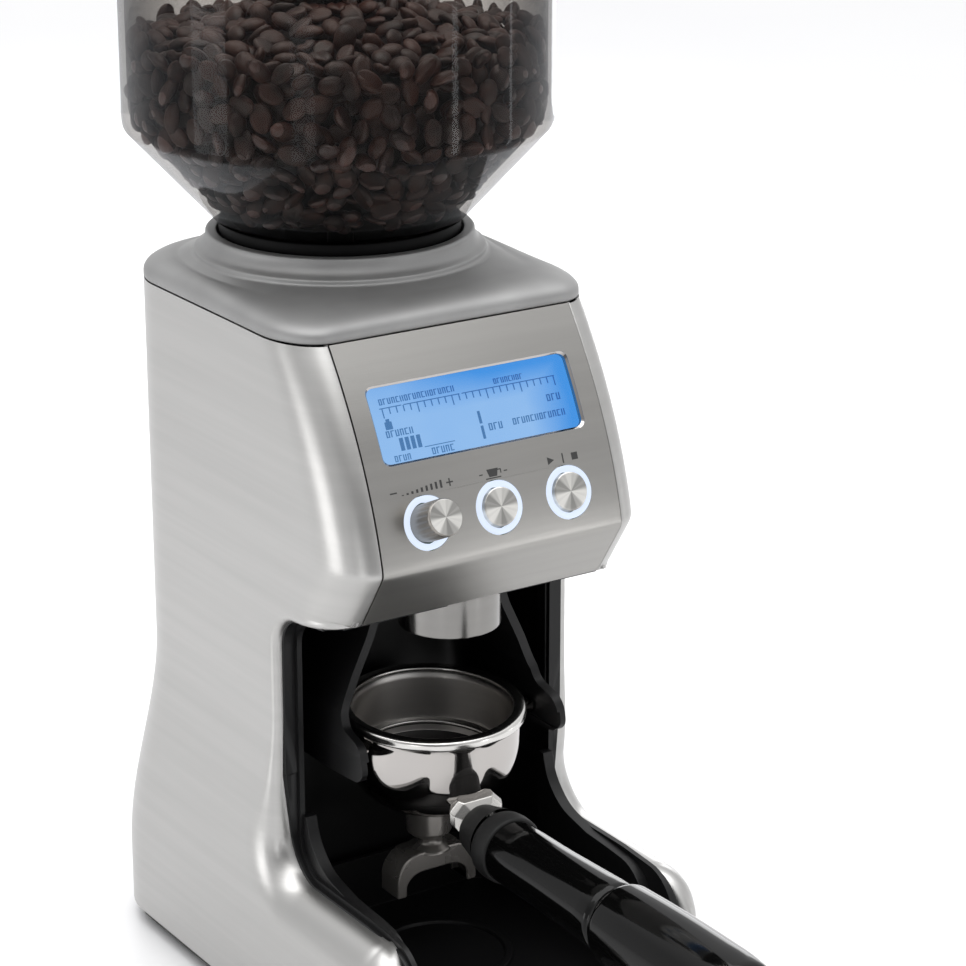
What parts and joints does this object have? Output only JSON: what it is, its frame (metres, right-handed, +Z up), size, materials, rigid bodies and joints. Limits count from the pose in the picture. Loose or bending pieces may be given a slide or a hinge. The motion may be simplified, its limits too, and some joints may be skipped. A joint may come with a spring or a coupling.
{
  "type": "burr coffee grinder",
  "caption": "Burr coffee grinder with a smoked bean hopper, brushed steel body, sloping display panel and a portafilter held in a cradle under the outlet.",
  "frame": {"origin": "centre of the bounding box's base, on the counter", "axes": "+Z up, the front and the portafilter's handle face -Y"},
  "size_m": [0.16, 0.344, 0.399],
  "materials": {
    "brushed_steel": "fine brushed",
    "brushed_panel": "fine brushed, warm grey",
    "spun_steel": "radially spun",
    "outlet_steel": "brushed",
    "basket_steel": "satin",
    "motor_steel": "plain",
    "burr_steel": "ground",
    "satin_silver": "satin metallic",
    "chrome": "polished",
    "black_plastic": "matte",
    "housing_grey": "matte",
    "dial_grey": "matte",
    "nylon": "plain",
    "circuit_green": "lacquered board",
    "bean_brown": "roasted, slightly oily",
    "gloss_black": "gloss",
    "rubber_black": "matte",
    "smoked_clear": "smoked clear",
    "smoked_lid": "smoked clear",
    "window_clear": "clear",
    "screen_blue": "backlit",
    "ring_light": "lit ring"
  },
  "bodies": {
    "housing": {"outer_shell": "brushed_steel", "top_cover": "satin_silver", "front_panel": "brushed_panel", "lcd_window": "window_clear", "lcd_module": "screen_blue", "control_board": "circuit_green", "dial_light_ring": "ring_light", "amount_light_ring": "ring_light", "start_light_ring": "ring_light", "bay_liner": "black_plastic", "base_plate": "black_plastic", "foot_1": "rubber_black", "foot_2": "rubber_black", "foot_3": "rubber_black", "foot_4": "rubber_black", "cord_gland": "rubber_black", "outlet_collar": "outlet_steel", "grounds_chute": "black_plastic", "start_switch": "housing_grey", "burr_chamber": "housing_grey", "motor_can": "motor_steel", "gear_plate": "housing_grey", "power_board": "circuit_green", "hopper_switch": "housing_grey"},
    "hopper": {"hopper_base": "black_plastic", "hopper_shell": "smoked_clear", "coffee_beans": "bean_brown"},
    "lid": {"hopper_lid": "smoked_lid", "lid_seal": "rubber_black"},
    "lock": {"lock_dial": "black_plastic"},
    "amount_knob": {"amount_dial": "spun_steel"},
    "amount_key": {"amount_button": "spun_steel"},
    "start_key": {"start_button": "spun_steel"},
    "side_dial": {"grind_dial": "dial_grey", "dial_pinion": "nylon"},
    "ring": {"adjusting_ring": "housing_grey", "ring_burr": "burr_steel", "burr_handle": "chrome"},
    "burr_drive": {"cone_burr": "burr_steel", "burr_nut": "burr_steel", "burr_shaft": "burr_steel", "impeller": "nylon", "output_gear": "nylon"},
    "idler": {"idler_gear": "nylon"},
    "rotor": {"motor_pinion": "burr_steel"},
    "cradle": {"cradle": "black_plastic"},
    "portafilter": {"portafilter_body": "chrome", "filter_basket": "basket_steel", "spout": "chrome", "handle": "gloss_black", "handle_collar": "rubber_black", "handle_cap": "chrome"},
    "tray": {"grinds_tray": "black_plastic"},
    "plunger": {"start_plunger": "housing_grey"}
  },
  "joints": [
    {"name": "hopper_lift", "type": "slide", "parent": "housing", "child": "hopper", "axis": [0, 0, 1], "range_m": [0, 0.08]},
    {"name": "lid_lift", "type": "slide", "parent": "hopper", "child": "lid", "axis": [0, 0, 1], "range_m": [0, 0.05]},
    {"name": "lock_turn", "type": "hinge", "parent": "hopper", "child": "lock", "pos_m": [0, 0.092, 0.27], "axis": [0, 0, 1], "range_deg": [0, 90]},
    {"name": "amount_turn", "type": "hinge", "parent": "housing", "child": "amount_knob", "pos_m": [-0.03, -0.01381, 0.20674], "axis": [0, -0.905, 0.4255], "continuous": true},
    {"name": "amount_press", "type": "slide", "parent": "housing", "child": "amount_key", "axis": [0, 0.905, -0.4255], "range_m": [0, 0.001], "stiffness_N_per_m": 300},
    {"name": "start_press", "type": "slide", "parent": "housing", "child": "start_key", "axis": [0, 0.905, -0.4255], "range_m": [0, 0.001], "stiffness_N_per_m": 300},
    {"name": "ring_turn", "type": "hinge", "parent": "housing", "child": "ring", "pos_m": [0, 0.092, 0.248], "axis": [0, 0, 1], "range_deg": [-60, 0]},
    {"name": "dial_turn", "type": "hinge", "parent": "housing", "child": "side_dial", "pos_m": [0.0653, 0.092, 0.22975], "axis": [1, 0, 0], "range_deg": [0, 240]},
    {"name": "burr_turn", "type": "hinge", "parent": "housing", "child": "burr_drive", "pos_m": [0, 0.092, 0.225], "axis": [0, 0, 1], "continuous": true},
    {"name": "idler_turn", "type": "hinge", "parent": "housing", "child": "idler", "pos_m": [0.0277, 0.107, 0.205], "axis": [0, 0, 1], "continuous": true},
    {"name": "motor_turn", "type": "hinge", "parent": "housing", "child": "rotor", "pos_m": [0, 0.122, 0.195], "axis": [0, 0, 1], "continuous": true},
    {"name": "cradle_slide", "type": "slide", "parent": "housing", "child": "cradle", "axis": [0, -1, 0], "range_m": [0, 0.05]},
    {"name": "portafilter_slide", "type": "slide", "parent": "cradle", "child": "portafilter", "axis": [0, -1, 0], "range_m": [0, 0.045]},
    {"name": "tray_slide", "type": "slide", "parent": "housing", "child": "tray", "axis": [0, -1, 0], "range_m": [0, 0.12]},
    {"name": "plunger_press", "type": "slide", "parent": "housing", "child": "plunger", "axis": [0, 1, 0], "range_m": [0, 0.002], "stiffness_N_per_m": 400}
  ],
  "couplings": [
    {"joint": "dial_turn", "follows": "ring_turn", "ratio": -4},
    {"joint": "idler_turn", "follows": "motor_turn", "ratio": -0.3125},
    {"joint": "burr_turn", "follows": "motor_turn", "ratio": 0.125}
  ]
}
